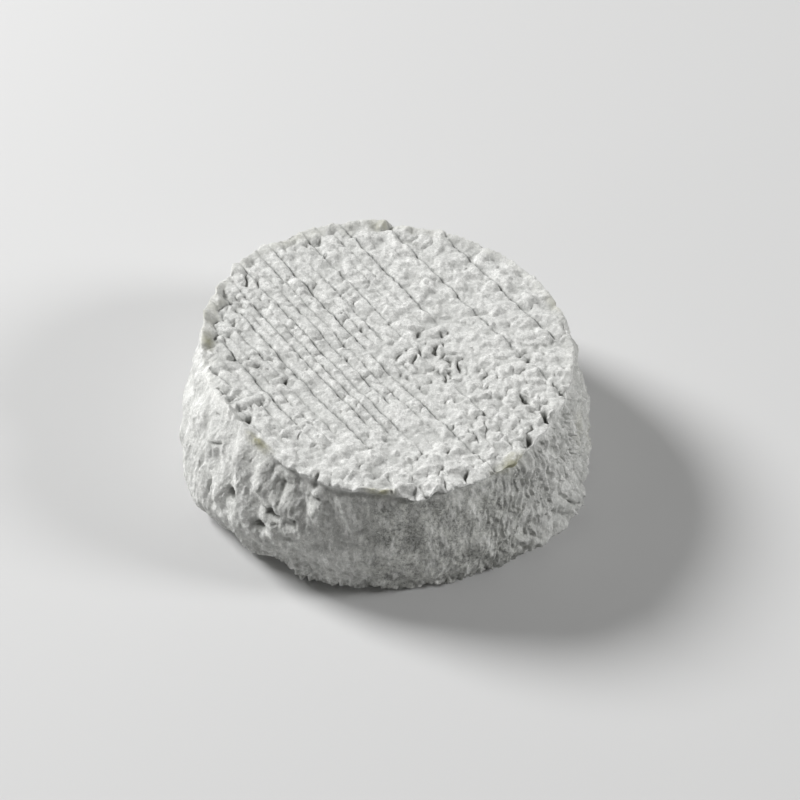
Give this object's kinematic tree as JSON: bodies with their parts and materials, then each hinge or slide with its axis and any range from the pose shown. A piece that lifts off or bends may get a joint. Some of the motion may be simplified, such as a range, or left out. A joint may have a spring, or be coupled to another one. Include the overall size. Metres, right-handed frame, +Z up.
{
  "type": "cheese wheel",
  "caption": "Small uncut soft cheese wheel with a wrinkled white rind, a turned-in base, a ragged rim and a face marked by parallel draining-rack grooves.",
  "frame": {"origin": "on the resting plane, under the middle of the wheel's outline", "axes": "+Z up through the wheel's height; -Y is the side that faces the viewer; +X is to the viewer's right"},
  "size_m": [0.1156, 0.1154, 0.0392],
  "materials": {
    "rind": "dry, powdery white mould over a grey wrinkled rind, greyer in the folds, with faint straw-yellow stains"
  },
  "bodies": {
    "root": {"cheese_wheel": "rind"}
  },
  "joints": []
}
